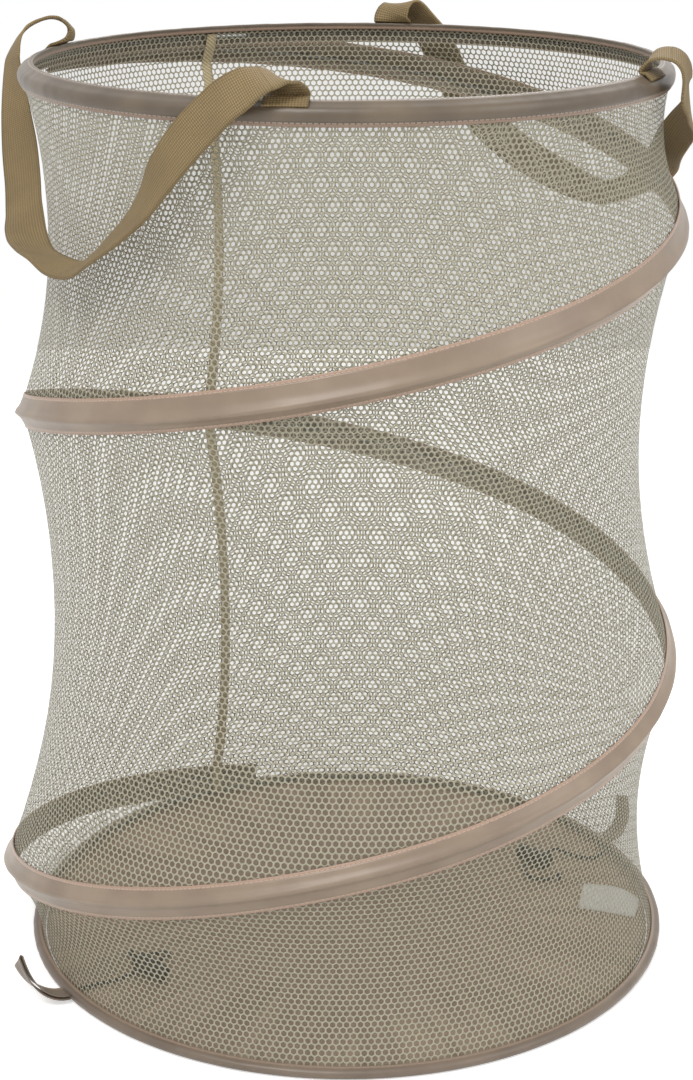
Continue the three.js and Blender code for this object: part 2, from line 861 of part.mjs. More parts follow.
const handles = {
  left: {
    middle: left_handle_angle,
    half_span: left_half_span,
    first_turns: left_first_turns,
    second_turns: left_second_turns,
    shares: left_loop_shares,
  },
  right: {
    middle: right_handle_angle,
    half_span: right_half_span,
    first_turns: right_first_turns,
    second_turns: right_second_turns,
    shares: right_loop_shares,
  },
};
for (const [side, handle] of Object.entries(handles)) {
  const { middle, half_span, first_turns, second_turns } = handle;
  const webbing = () => material(0x8a7a5c, 0.75);
  add(`${side}_handle_loop`, handle_loop(handle), webbing());
  add(`${side}_handle_first_end`, handle_end(middle + half_span, -1, first_turns), webbing());
  add(`${side}_handle_second_end`, handle_end(middle - half_span, 1, second_turns), webbing());
}

const closures = [
  ["left", left_lock_place, left_lock_turn, left_cord_route],
  ["right", right_lock_place, right_lock_turn, right_cord_route],
];
for (const [side, place, turn, route] of closures) {
  const frame = lock_frame(place, turn);
  group.add(frame);
  add(`${side}_closure_cord`, closure_cord(route), material(0x17171a, 0.9), frame);
  add(`${side}_cord_knot`, cord_knot(route), material(0x17171a, 0.9), frame);
  add(`${side}_lock_barrel`, lock_barrel(), material(0x101012, 0.4), frame);
  add(`${side}_lock_button`, lock_button(), material(0x141416, 0.4), frame);
  add(`${side}_lock_spring`, lock_spring(`${side}_lock_spring`), material(0xb0b2b5, 0.3, 1), frame);
}

export default group;
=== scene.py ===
import math

import bmesh
import bpy
import numpy as np
from mathutils import Matrix, Vector, noise


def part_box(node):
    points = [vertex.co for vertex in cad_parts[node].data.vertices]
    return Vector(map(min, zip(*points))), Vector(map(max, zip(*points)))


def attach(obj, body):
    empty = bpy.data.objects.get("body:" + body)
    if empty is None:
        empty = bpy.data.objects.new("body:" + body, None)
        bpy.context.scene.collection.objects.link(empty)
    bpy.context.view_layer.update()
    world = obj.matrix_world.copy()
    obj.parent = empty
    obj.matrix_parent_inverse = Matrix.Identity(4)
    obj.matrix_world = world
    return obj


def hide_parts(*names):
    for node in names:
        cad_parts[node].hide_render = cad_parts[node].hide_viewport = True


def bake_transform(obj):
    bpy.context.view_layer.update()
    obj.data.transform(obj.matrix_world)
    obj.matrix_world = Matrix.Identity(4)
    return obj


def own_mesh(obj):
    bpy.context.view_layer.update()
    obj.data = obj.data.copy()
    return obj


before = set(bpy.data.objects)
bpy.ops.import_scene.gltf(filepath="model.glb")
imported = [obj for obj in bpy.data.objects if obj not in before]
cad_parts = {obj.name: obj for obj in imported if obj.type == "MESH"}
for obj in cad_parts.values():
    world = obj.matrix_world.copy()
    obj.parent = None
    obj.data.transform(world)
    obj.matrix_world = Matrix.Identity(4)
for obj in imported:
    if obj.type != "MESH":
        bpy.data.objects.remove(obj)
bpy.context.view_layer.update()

# Main sizes, in metres, as the solids have them
MM = 0.001
TURN = 2 * math.pi
HEIGHT = 585.3 * MM
RIM_RADIUS = 200 * MM
BASE_RADIUS = 216 * MM
GAP = 0.3 * MM
STEP_ANGLE = TURN / 40
SEAM_ANGLE = math.radians(118.5)
START_ANGLE = SEAM_ANGLE + 7 * STEP_ANGLE
# The bias tapes at rim and base, and the steps they are turned in
BIAS_THICKNESS = 0.8 * MM
RING_STEPS = 480


def mix(a, b, share):
    return a + (b - a) * share


def clamp(value, low=0.0, high=1.0):
    return min(max(value, low), high)


def ease(value):
    value = clamp(value)
    return value * value * (3 - 2 * value)


def polar(radius, angle, z=0.0):
    return Vector((radius * math.cos(angle), radius * math.sin(angle), z))


def ripple(seed, *place):
    """Smooth noise from -1 to 1 at a place of up to three numbers."""
    spot = Vector((*place, *[0.0] * (3 - len(place)))) + Vector((17.3 * seed, 5.9 * seed, 0))
    return noise.noise(spot)


def smooth_line(points, count):
    """Points spread evenly in number along a centripetal curve through the given ones."""
    line = [Vector(p) for p in points]
    line = [2 * line[0] - line[1], *line, 2 * line[-1] - line[-2]]
    knots = [0.0]
    for a, b in zip(line, line[1:]):
        knots.append(knots[-1] + max((b - a).length, 1e-9) ** 0.5)
    found = []
    last = len(line) - 3
    for i in range(count):
        place = i / (count - 1) * last
        k = min(int(place), last - 1) + 1
        t = mix(knots[k], knots[k + 1], place - (k - 1))
        p, q = line[k - 1 : k + 3], knots[k - 1 : k + 3]
        a = [p[j].lerp(p[j + 1], (t - q[j]) / (q[j + 1] - q[j])) for j in range(3)]
        b = [a[j].lerp(a[j + 1], (t - q[j]) / (q[j + 2] - q[j])) for j in range(2)]
        found.append(b[0].lerp(b[1], (t - q[1]) / (q[2] - q[1])))
    return found


def ring_ripple(seed, times, angle, height):
    """The same noise on a ring, so that it closes; times says how fast it changes."""
    return ripple(seed, times * math.cos(angle), times * math.sin(angle), height)


def add(name, data):
    thing = bpy.data.objects.new(name, data)
    bpy.context.scene.collection.objects.link(thing)
    return thing


# Meshes
def surface(name, rows, uv, closed=False):
    """A sheet through a grid of points; uv gives each point's place on the cloth in metres."""
    count = len(rows[0])
    mesh = bpy.data.meshes.new(name)
    faces, corners = [], []
    for i in range(len(rows) if closed else len(rows) - 1):
        j = (i + 1) % len(rows)
        for k in range(count - 1):
            faces.append((i * count + k, j * count + k, j * count + k + 1, i * count + k + 1))
            corners.append(((i, k), (i + 1, k), (i + 1, k + 1), (i, k + 1)))
    mesh.from_pydata([tuple(p) for row in rows for p in row], [], faces)
    layer = mesh.uv_layers.new(name="UVMap")
    flat = [uv(i, k) for face in corners for i, k in face]
    layer.data.foreach_set("uv", [value for pair in flat for value in pair])
    mesh.shade_smooth()
    return add(name, mesh)


def thicken(piece, thickness, offset=0.0):
    shell = piece.modifiers.new("thickness", "SOLIDIFY")
    shell.thickness = thickness
    shell.offset = offset


def run_lengths(points):
    lengths = [0.0]
    for a, b in zip(points, points[1:]):
        lengths.append(lengths[-1] + (Vector(b) - Vector(a)).length)
    return lengths


def revolve(name, outline, pucker):
    """A tape turned round the Z axis from an outline of (radius, height)."""
    lengths = run_lengths([(r, 0, z) for r, z in outline])
    rows = []
    for i in range(RING_STEPS):
        angle = START_ANGLE - TURN * i / RING_STEPS
        shifts = zip(outline, pucker(angle))
        rows.append([polar(r + dr, angle, z + dz) for (r, z), (dr, dz) in shifts])
    reach = TURN * outline[0][0]
    tape = surface(name, rows, closed=True, uv=lambda i, k: (reach * i / RING_STEPS, lengths[k]))
    thicken(tape, BIAS_THICKNESS)
    return tape


def ribbon(name, stations, width, across=9, curl=0.0, edge=0.0):
    """A strap through (place, width direction) stations; curl lifts its two sides."""
    lengths = run_lengths([place for place, _ in stations])
    rows = []
    for i, (place, side) in enumerate(stations):
        before = stations[max(i - 1, 0)][0]
        after = stations[min(i + 1, len(stations) - 1)][0]
        along = (after - before).normalized()
        side = (side - along * side.dot(along)).normalized()
        face = along.cross(side)
        row = []
        for k in range(across):
            share = 2 * k / (across - 1) - 1
            lift = curl * share * share + edge * ripple(3, lengths[i] * 40, share)
            row.append(place + side * (share * width / 2) + face * lift)
        rows.append(row)
    return surface(name, rows, uv=lambda i, k: (lengths[i], width * k / (across - 1)))


# Materials
class Look:
    """A procedural material: one Principled shader, and helpers that add nodes before it."""

    def __init__(self, name, roughness, metallic=0.0, sheen=0.0):
        self.material = bpy.data.materials.new(name)
        self.material.use_nodes = True
        self.tree = self.material.node_tree
        self.shader = self.tree.nodes["Principled BSDF"]
        self.shader.inputs["Roughness"].default_value = roughness
        self.shader.inputs["Metallic"].default_value = metallic
        self.shader.inputs["Sheen Weight"].default_value = sheen

    def put(self, value, socket):
        if isinstance(value, bpy.types.NodeSocket):
            self.tree.links.new(value, socket)
        else:
            socket.default_value = value

    def set(self, name, value):
        self.put(value, self.shader.inputs[name])

    def math(self, operation, a, b=0.0, c=0.0):
        node = self.tree.nodes.new("ShaderNodeMath")
        node.operation = operation
        for value, socket in zip((a, b, c), node.inputs):
            self.put(value, socket)
        return node.outputs[0]

    def sum(self, a, share, b, other=1.0):
        """a times share, plus b times other."""
        rest = b if other == 1.0 else self.math("MULTIPLY", b, other)
        return self.math("MULTIPLY_ADD", a, share, rest)

    def cloth(self):
        """The place on the cloth, (along, across), in metres."""
        split = self.tree.nodes.new("ShaderNodeSeparateXYZ")
        self.put(self.tree.nodes.new("ShaderNodeUVMap").outputs[0], split.inputs[0])
        return split.outputs[0], split.outputs[1]

    def place(self):
        return self.tree.nodes.new("ShaderNodeTexCoord").outputs["Object"]

    def scaled(self, vector, scale):
        node = self.tree.nodes.new("ShaderNodeMapping")
        self.put(vector, node.inputs["Vector"])
        node.inputs["Scale"].default_value = scale
        return node.outputs[0]

    def noise(self, vector, scale, detail=3.0):
        node = self.tree.nodes.new("ShaderNodeTexNoise")
        self.put(vector, node.inputs["Vector"])
        node.inputs["Scale"].default_value = scale
        node.inputs["Detail"].default_value = detail
        return node.outputs[0]

    def steps(self, value, low, high):
        """0 below low, 1 above high, smooth in between."""
        node = self.tree.nodes.new("ShaderNodeMapRange")
        node.interpolation_type = "SMOOTHSTEP"
        self.put(value, node.inputs["Value"])
        node.inputs["From Min"].default_value = low
        node.inputs["From Max"].default_value = high
        return node.outputs[0]

    def blend(self, share, a, b):
        node = self.tree.nodes.new("ShaderNodeMix")
        node.data_type = "RGBA"
        self.put(share, node.inputs["Factor"])
        for colour, socket in ((a, node.inputs["A"]), (b, node.inputs["B"])):
            self.put((*colour, 1.0) if isinstance(colour, tuple) else colour, socket)
        return node.outputs["Result"]

    def bump(self, height, depth, strength=1.0):
        node = self.tree.nodes.new("ShaderNodeBump")
        self.put(height, node.inputs["Height"])
        node.inputs["Distance"].default_value = depth
        node.inputs["Strength"].default_value = strength
        self.tree.links.new(node.outputs[0], self.shader.inputs["Normal"])

    def wave(self, value, pitch):
        """A smooth ridge from 0 to 1 that repeats at the pitch."""
        turn = self.math("MULTIPLY", value, TURN / pitch)
        return self.math("MULTIPLY_ADD", self.math("COSINE", turn), 0.5, 0.5)

    def fold(self, value, pitch):
        """Distance from the nearest multiple of the pitch."""
        return self.math("ABSOLUTE", self.math("WRAP", value, pitch / 2, -pitch / 2))


def rgb(red, green, blue):
    """A colour as a screen shows it, in the renderer's own values."""
    return tuple(
        (c / 12.92 if c <= 0.04045 else ((c + 0.055) / 1.055) ** 2.4)
        for c in (red / 255, green / 255, blue / 255)
    )


# Holes of the net, staggered row by row: how far one reaches from its middle, how much that
# varies, how soft its edge is, and how much of the light its fuzz holds back
NET_COLUMNS = 303
NET_PITCH = TURN * RIM_RADIUS / NET_COLUMNS
NET_ROW = 3.5 * MM
HOLE_REACH = 1.56 * MM
HOLE_UNEVEN = 0.25 * MM
HOLE_EDGE = 0.05 * MM
NET_HAZE = 0.24
COS_30 = 0.866


def net_look():
    look = Look("net", 0.75)
    along, up = look.cloth()
    nearest = []
    for shift in (0.0, 0.5):
        dx = look.fold(look.math("ADD", along, shift * NET_PITCH), NET_PITCH)
        dy = look.fold(look.math("ADD", up, 2 * shift * NET_ROW), 2 * NET_ROW)
        hexagon = look.math("MAXIMUM", dx, look.sum(dy, COS_30, dx, 0.5))
        circle = look.math("SQRT", look.sum(dx, dx, look.math("MULTIPLY", dy, dy)))
        nearest.append(look.sum(hexagon, 0.5, circle, 0.5))
    reach = look.math("MINIMUM", *nearest)
    uneven = look.noise(look.place(), 90.0)
    limit = look.math("MULTIPLY_ADD", uneven, HOLE_UNEVEN, HOLE_REACH - 0.12 * MM)
    strand = look.steps(look.math("SUBTRACT", reach, limit), -HOLE_EDGE, HOLE_EDGE)
    look.set("Alpha", look.math("MULTIPLY_ADD", strand, 1 - NET_HAZE, NET_HAZE))
    fibre = look.noise(look.place(), 1400.0)
    thread = look.blend(
        look.sum(fibre, 0.5, uneven, 0.5), rgb(156, 150, 129), rgb(206, 200, 178)
    )
    look.set("Base Color", look.blend(strand, rgb(132, 128, 112), thread))
    crown = look.steps(reach, HOLE_REACH, NET_PITCH / 2)
    look.bump(look.sum(fibre, 0.3, crown), 0.45 * MM)
    return look.material


# Stitches: their pitch along a row, how far from its middle a thread fades out and a gap between
# two stitches ends, and how wide the groove is that they lie in
STITCH_PITCH = 3.1 * MM
STITCH_THREAD = (0.25 * MM, 0.5 * MM)
STITCH_GAP = (0.35 * MM, 0.55 * MM)
STITCH_GROOVE = 1.4 * MM
# A tape's pale edge fades out between these distances, and frays by that much either way
EDGE_FADE = (1.3 * MM, 2.6 * MM)
EDGE_FRAY = 0.8 * MM


def satin_look(name, dark, light, edge, width, stitched):
    """Satin tape: paler pinkish edges, fine threads across, and rows of stitches."""
    look = Look(name, 0.38, sheen=0.05)
    along, across = look.cloth()
    grain = look.noise(look.place(), 2600.0, 2.0)
    broad = look.noise(look.place(), 26.0, 4.0)
    base = look.blend(look.steps(broad, 0.1, 0.9), dark, light)
    near_edge = look.math("MINIMUM", across, look.math("SUBTRACT", width, across))
    frayed = look.math("MULTIPLY_ADD", look.noise(look.place(), 700.0), 2 * EDGE_FRAY, -EDGE_FRAY)
    inside = look.steps(look.math("ADD", near_edge, frayed), *EDGE_FADE)
    base = look.blend(inside, edge, base)
    height = look.math("MULTIPLY", grain, 0.12)
    for row in stitched:
        beside = look.math("ABSOLUTE", look.math("SUBTRACT", across, row))
        thread = look.math("SUBTRACT", 1.0, look.steps(beside, *STITCH_THREAD))
        dash = look.steps(look.fold(along, STITCH_PITCH), *STITCH_GAP)
        stitch = look.math("MULTIPLY", thread, dash)
        base = look.blend(look.math("MULTIPLY", stitch, 0.55), base, rgb(214, 190, 170))
        groove = look.steps(beside, 0.0, STITCH_GROOVE)
        height = look.sum(groove, 0.9, height)
        height = look.sum(stitch, 0.7, height)
    look.set("Base Color", look.blend(look.math("MULTIPLY", grain, 0.25), base, dark))
    look.bump(height, 0.35 * MM)
    return look.material


# Pitches of the webbing's ribs and of the cords that cross them
RIB_PITCH = 1.25 * MM
CORD_PITCH = 1.7 * MM


def webbing_look():
    """Woven webbing: rows of small ribs crossed by fine cords."""
    look = Look("webbing", 0.7)
    along, across = look.cloth()
    rib = look.math("MULTIPLY_ADD", look.wave(along, RIB_PITCH), 0.6, 0.4)
    cord = look.math("MULTIPLY_ADD", look.wave(across, CORD_PITCH), 0.5, 0.5)
    weave = look.math("MULTIPLY", rib, cord)
    broad = look.noise(look.place(), 30.0)
    fuzz = look.noise(look.place(), 2500.0, 2.0)
    colour = look.blend(look.sum(fuzz, 0.35, weave, 0.85), rgb(36, 25, 8), rgb(166, 142, 98))
    worn = look.math("MULTIPLY", look.steps(broad, 0.35, 0.7), 0.35)
    look.set("Base Color", look.blend(worn, colour, rgb(104, 86, 58)))
    look.bump(look.sum(fuzz, 0.25, weave), 0.4 * MM)
    return look.material


def base_look():
    look = Look("base_cloth", 0.55)
    spot = look.place()
    broad = look.noise(spot, 14.0, 5.0)
    fine = look.noise(spot, 1900.0, 2.0)
    sheet = look.tree.nodes.new("ShaderNodeUVMap").outputs[0]
    pulled = look.noise(look.scaled(sheet, (70, 9, 1)), 1.0, 4.0)
    _, outward = look.cloth()
    # Crease streaks near the edge are painted highlight: they lighten the colour, and they also rise
    # in the bump.
    crease = look.math("MULTIPLY", look.steps(pulled, 0.35, 0.68), look.steps(outward, 0.03, 0.17))
    shade = look.sum(crease, 0.45, look.sum(fine, 0.25, broad, 0.35))
    look.set("Base Color", look.blend(shade, rgb(112, 91, 71), rgb(186, 158, 132)))
    look.bump(look.sum(fine, 0.05, look.math("ADD", broad, crease)), 2.4 * MM, 0.6)
    return look.material


def seam_look():
    look = Look("seam_tape", 0.75, sheen=0.2)
    along, across = look.cloth()
    zigzag = look.wave(look.math("ADD", along, look.math("MULTIPLY", across, 0.7)), 2.4 * MM)
    fuzz = look.noise(look.place(), 1500.0)
    shade = look.sum(fuzz, 0.4, zigzag, 0.6)
    look.set("Base Color", look.blend(shade, rgb(146, 130, 98), rgb(206, 192, 156)))
    look.bump(shade, 0.4 * MM)
    return look.material


def label_look():
    look = Look("label", 0.5, sheen=0.1)
    along, across = look.cloth()
    thread = look.math("MULTIPLY", look.wave(along, 0.5 * MM), look.wave(across, 0.5 * MM))
    cloud = look.noise(look.place(), 60.0)
    shade = look.sum(cloud, 0.6, thread, 0.4)
    look.set("Base Color", look.blend(shade, rgb(222, 222, 218), rgb(248, 248, 246)))
    look.bump(thread, 0.1 * MM)
    return look.material


BRAID_PITCH = 1.2 * MM


def cord_look():
    look = Look("cord", 0.85, sheen=0.2)
    along, across = look.cloth()
    over = look.wave(look.math("ADD", along, across), BRAID_PITCH)
    under = look.wave(look.math("SUBTRACT", along, across), BRAID_PITCH)
    plait = look.math("MAXIMUM", over, under)
    look.set("Base Color", look.blend(plait, rgb(14, 14, 16), rgb(46, 46, 50)))
    look.bump(plait, 0.25 * MM)
    return look.material


def plastic_look():
    look = Look("lock_plastic", 0.38)
    cloud = look.noise(look.place(), 500.0)
    look.set("Base Color", look.blend(cloud, rgb(18, 18, 20), rgb(36, 36, 38)))
    look.bump(look.noise(look.place(), 2200.0), 0.05 * MM)
    return look.material


def steel_look(name, light):
    look = Look(name, 0.32, metallic=1.0)
    drawn = look.noise(look.scaled(look.place(), (60, 60, 900)), 4.0)
    dark = rgb(light - 40, light - 38, light - 36)
    look.set("Base Color", look.blend(drawn, dark, rgb(light, light, light)))
    look.set("Roughness", look.math("MULTIPLY_ADD", drawn, 0.2, 0.25))
    return look.material


def dress(piece, material, body=None, replaces=()):
    """A piece's material, and what it rides on and stands for."""
    piece.data.materials.clear()
    piece.data.materials.append(material)
    if body:
        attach(piece, body)
    if replaces:
        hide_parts(*replaces)
    return piece


# Camera, as fitted to the photograph
CAMERA_PLACE = (0, -1392.1 * MM, 750.7 * MM)
CAMERA_DOWN = math.radians(18.97)
CAMERA_LENS = 74.67


def add_camera():
    data = bpy.data.cameras.new("camera")
    data.sensor_fit = "VERTICAL"
    data.sensor_height = 36
    data.lens = CAMERA_LENS
    camera = add("camera", data)
    camera.location = CAMERA_PLACE
    camera.rotation_euler = (math.pi / 2 - CAMERA_DOWN, 0, 0)
    bpy.context.scene.camera = camera


add_camera()

CORD_RADIUS = 1.25 * MM
CORD_POINTS = 97
# The end of both cords' routes, in mm from the lock's middle: through the lock and round to the knot
THROUGH_LOCK = [
    (17, 0, 8.4),
    (10, 0, 8.4),
    (0, 0, 8.4),
    (-10, 0, 8.4),
    (-16, 0, 8.4),
    (-19.5, -1, 8.1),
    (-22.3, -4.5, 7),
    (-22.6, -9.5, 5.2),
    (-19.5, -14.5, 3.7),
    (-15, -18.8, 3.2),
    (-10.5, -22.3, 3.2),
]
# Cords, in mm and degrees: where each lock lies, its turn, and the cord's route from its sewn end
CLOSURES = {
    "left": (
        (-130.4, -92.3),
        -133.3,
        [
            (44.5, -17, 3.2),
            (38, -15.3, 3.2),
            (31, -12, 3.5),
            (26, -7, 4.9),
            (22.5, -2.6, 7),
            (19.5, -0.4, 8.2),
            *THROUGH_LOCK,
        ],
    ),
    "right": (
        (138.1, 62.2),
        48.8,
        [
            (49.5, -22.6, 3.2),
            (43, -25, 3.2),
            (36, -24.5, 3.2),
            (30, -20.5, 3.5),
            (26.3, -14, 4.4),
            (24, -7, 6),
            (21.5, -2, 7.6),
            (19, -0.2, 8.3),
            *THROUGH_LOCK,
        ],
    ),
}


def tube(name, line, radius, sides=12):
    """A round tube along a line, closed at both ends."""
    lengths = run_lengths(line)
    rows = []
    side = Vector((0, 0, 1))
    last = len(line) - 1
    for i, place in enumerate(line):
        along = (line[min(i + 1, last)] - line[max(i - 1, 0)]).normalized()
        side = (side - along * side.dot(along)).normalized()
        up = along.cross(side)
        size = radius if 0 < i < last else radius * 0.2
        turns = [TURN * k / sides for k in range(sides + 1)]
        rows.append([place + (side * math.cos(t) + up * math.sin(t)) * size for t in turns])
    return surface(name, rows, uv=lambda i, k: (lengths[i], TURN * radius * k / sides))


def closure(side, place, turn, route, cord, plastic, steel):
    """A cord with its knot, and the lock that the cord runs through."""
    spin = Matrix.Rotation(math.radians(turn), 4, "Z")
    spin = Matrix.Translation((place[0] * MM, place[1] * MM, 0)) @ spin
    line = [spin @ (Vector(p) * MM) for p in smooth_line(route, CORD_POINTS)]
    strand = dress(tube(f"{side}_cord", line, CORD_RADIUS), cord, "base",
                   [f"{side}_closure_cord"])
    knot = tie(side, (line[-1] - line[-4]).normalized(), cord)
    for node in (f"{side}_lock_barrel", f"{side}_lock_button"):
        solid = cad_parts[node]
        dress(solid, plastic)
        bevel = solid.modifiers.new("edges", "BEVEL")
        bevel.width = 0.35 * MM
        bevel.segments = 2
        bevel.angle_limit = math.radians(40)
        solid.data.shade_smooth()
        solid.modifiers.new("normals", "WEIGHTED_NORMAL")
    spring = dress(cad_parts[f"{side}_lock_spring"], steel)


KNOT_TURNS = 1.35
KNOT_POINTS = 49


def tie(side, along, cord):
    """The knot at a cord's end: cord in a figure of eight that fills the solid's height."""
    low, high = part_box(f"{side}_cord_knot")
    centre = (low + high) / 2
    reach = (high - low).z / 2 - CORD_RADIUS * 0.9
    across = along.cross(Vector((0, 0, 1))).normalized()
    line = []
    for i in range(KNOT_POINTS):
        turn = TURN * KNOT_TURNS * i / (KNOT_POINTS - 1)
        swing = Vector((math.sin(turn), math.sin(2 * turn) * 0.75, math.cos(turn)))
        spot = along * swing.y * reach + across * swing.x * reach
        line.append(centre + spot + Vector((0, 0, swing.z * reach * 0.8)))
    knot = tube(f"{side}_knot", line, CORD_RADIUS * 0.92)
    return dress(knot, cord, "base", [f"{side}_cord_knot"])


cord_material = cord_look()
plastic_material = plastic_look()
steel_material = steel_look("spring_steel", 176)
for closure_side, (lock_place, lock_turn, cord_route) in CLOSURES.items():
    closure(closure_side, lock_place, lock_turn, cord_route,
            cord_material, plastic_material, steel_material)

# Spiral line, from rim to base: shares of the radius that a straight wall has there, and of the
# height
SPIRAL_TURNS = 2.25
SPIRAL_RADIUS_SHARES = [0.987, 1.026, 1.013, 0.949, 0.989, 1.015, 1.003, 0.988, 1.056, 0.944]
SPIRAL_HEIGHT_SHARES = [0.992, 0.958, 0.841, 0.733, 0.621, 0.481, 0.349, 0.23, 0.089, 0.006]
# At the same places, how far down the tape its ridge lies
RIDGE_SHARES = [0.6, 0.61, 0.66, 0.7, 0.54, 0.5, 0.46, 0.42, 0.5, 0.5]
TAPE_WIDTH = 22 * MM
TAPE_BULGE = 6 * MM
TAPE_SKIN = 0.9 * MM
# The tape runs out over this height under the rim and on the base
RUN_OUT = 14 * MM
RIM_LINE = (196.6 * MM, 571.7 * MM)
WALL_TOP = (193.0 * MM, 583.9 * MM)
BASE_LINE = (210 * MM, 6.8 * MM)
WALL_FOOT = (210 * MM, 1.4 * MM)
# Between two turns the wall draws in by this share of its height there
WAIST_SHARE = 0.075
WAIST_STEPS = 16


def along_spiral(values, turns):
    """A smooth curve through values spread evenly down the spiral."""
    last = len(values) - 1
    place = clamp(turns / SPIRAL_TURNS) * last
    k = min(int(place), last - 1)
    t = place - k
    a, b, c, d = (values[int(clamp(k + j, 0, last))] for j in (-1, 0, 1, 2))
    start, end = (c - a) / 2, (d - b) / 2
    turned = (2 * b - 2 * c + start + end) * t**3
    return turned + (3 * c - 3 * b - 2 * start - end) * t**2 + start * t + b


SPIRAL_RADII = [
    share * mix(RIM_RADIUS, BASE_RADIUS, i / (len(SPIRAL_RADIUS_SHARES) - 1))
    for i, share in enumerate(SPIRAL_RADIUS_SHARES)
]


def spiral_at(turns):
    """(radius, height) of the casing's middle, so many turns down from its start."""
    return along_spiral(SPIRAL_RADII, turns), along_spiral(SPIRAL_HEIGHT_SHARES, turns) * HEIGHT


def tape_edges(turns):
    """The casing's upper and lower sewn edges, which run out under the rim and on the base."""
    if turns > SPIRAL_TURNS:
        return BASE_LINE, BASE_LINE
    radius, height = spiral_at(turns)
    edges = []
    for rise in (TAPE_WIDTH / 2, -TAPE_WIDTH / 2):
        z = clamp(height + rise, BASE_LINE[1], RIM_LINE[1])
        near_rim = 1 - ease((RIM_LINE[1] - z) / RUN_OUT)
        near_base = 1 - ease((z - BASE_LINE[1]) / RUN_OUT)
        r = mix(mix(radius, RIM_LINE[0], near_rim), BASE_LINE[0], near_base)
        edges.append((r, z))
    return edges


def turns_at(angle):
    return ((START_ANGLE - angle) / TURN) % 1


def wall_profile(angle):
    """The wall's heights, falling from rim to base, and its radii there, at one angle."""
    heights, radii = [WALL_TOP[1], RIM_LINE[1]], [WALL_TOP[0], RIM_LINE[0]]
    last = RIM_LINE
    turns = turns_at(angle)
    while turns < SPIRAL_TURNS + 1:
        upper, lower = tape_edges(turns)
        span = last[1] - upper[1]
        for k in range(1, WAIST_STEPS + 1):
            share = k / WAIST_STEPS
            draw = 4 * share * (1 - share) * WAIST_SHARE * span
            heights.append(mix(last[1], upper[1], share))
            radii.append(mix(last[0], upper[0], share) - draw)
        heights.append(lower[1])
        radii.append(lower[0])
        last = lower
        turns += 1
    heights.append(WALL_FOOT[1])
    radii.append(WALL_FOOT[0])
    return np.array(heights), np.array(radii)


def wall_radius(angle, heights):
    """The wall's radii at some heights, at one angle."""
    z, r = wall_profile(angle)
    return np.interp(-np.asarray(heights), -z, r)


WALL_COLUMNS, WALL_ROWS = 360, 236
# The net hangs slack by this much, but not so near to rim and base
SLACK = 0.9 * MM
TAUT_EDGE = 40 * MM


def mesh_wall():
    heights = np.linspace(WALL_TOP[1], WALL_FOOT[1], WALL_ROWS)
    rows = []
    for i in range(WALL_COLUMNS):
        angle = START_ANGLE - TURN * i / WALL_COLUMNS
        radii = wall_radius(angle, heights)
        row = []
        for r, z in zip(radii, heights):
            hang = min(z - WALL_FOOT[1], WALL_TOP[1] - z, TAUT_EDGE) / TAUT_EDGE
            slack = ring_ripple(1, 3, angle, 9 * z) - 0.3
            row.append(polar(r + min(SLACK * hang * slack, 0), angle, z))
        rows.append(row)
    circumference = TURN * RIM_RADIUS
    wall = surface("net_wall", rows, closed=True,
                   uv=lambda i, k: (circumference * i / WALL_COLUMNS, heights[k]))
    dress(wall, net_look(), "base", ["mesh_wall"])
    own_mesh(wall)


SEAM_WIDTH = 7.5 * MM
SEAM_INSET = 1.3 * MM
SEAM_CROWN = 0.5 * MM
SEAM_THICKNESS = 0.5 * MM
SEAM_ROWS = 200


def seam():
    heights = np.linspace(WALL_TOP[1] - 4 * MM, 3 * MM, SEAM_ROWS)
    rows = []
    for z in heights:
        row = []
        for share in (-1, -0.5, 0, 0.5, 1):
            angle = SEAM_ANGLE + share * SEAM_WIDTH / 2 / RIM_RADIUS
            r = float(wall_radius(angle, [z])[0]) - SEAM_INSET - SEAM_CROWN * (1 - share * share)
            row.append(polar(r + 0.3 * MM * ripple(2, 60 * z, share), angle, z))
        rows.append(row)
    tape = surface("seam_tape_inside", rows,
                   uv=lambda i, k: (heights[0] - heights[i], SEAM_WIDTH * k / 4))
    thicken(tape, SEAM_THICKNESS, 1.0)
    dress(tape, seam_look(), "base", ["wall_seam_tape"])
    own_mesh(tape)


TAPE_ACROSS, TAPE_STATIONS = 19, 620
# The turns down from the spiral's start at which the tape starts and ends
TAPE_START, TAPE_END = 0.05, 2.2
# How much of the tape's height is in the narrow crest over the wire
CREST_SHARE = 0.28


def spiral_tape(material):
    rows, lengths = [], [0.0]
    for i in range(TAPE_STATIONS):
        turns = mix(TAPE_START, TAPE_END, i / (TAPE_STATIONS - 1))
        angle = START_ANGLE - TURN * turns
        upper, lower = tape_edges(turns)
        tall = upper[1] - lower[1]
        full = clamp(2 * tall / TAPE_WIDTH)
        ridge = mix(0.5, along_spiral(RIDGE_SHARES, turns), full)
        row = []
        for k in range(TAPE_ACROSS):
            share = k / (TAPE_ACROSS - 1)
            beside = (share - ridge) / (ridge if share < ridge else 1 - ridge)
            slope = (1 - abs(beside)) ** 1.15
            crest = math.exp(-((beside / 0.22) ** 2))
            tent = (1 - CREST_SHARE) * slope + CREST_SHARE * crest
            lift = TAPE_BULGE * full * tent * (1 - abs(beside) ** 6)
            lift += 0.35 * MM * full * ripple(4, 90 * turns, 2 * share) * (1 - abs(beside) ** 2)
            z = mix(upper[1], lower[1], share)
            r = mix(upper[0], lower[0], share)
            row.append(polar(r + GAP + TAPE_SKIN / 2 + lift, angle, z))
        rows.append(row)
        if i:
            lengths.append(lengths[-1] + (rows[i][0] - rows[i - 1][0]).length)
    tape = surface("spiral_tape", rows,
                   uv=lambda i, k: (lengths[i], TAPE_WIDTH * k / (TAPE_ACROSS - 1)))
    thicken(tape, TAPE_SKIN)
    dress(tape, material, "base", ["spiral_casing"])
    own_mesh(tape)


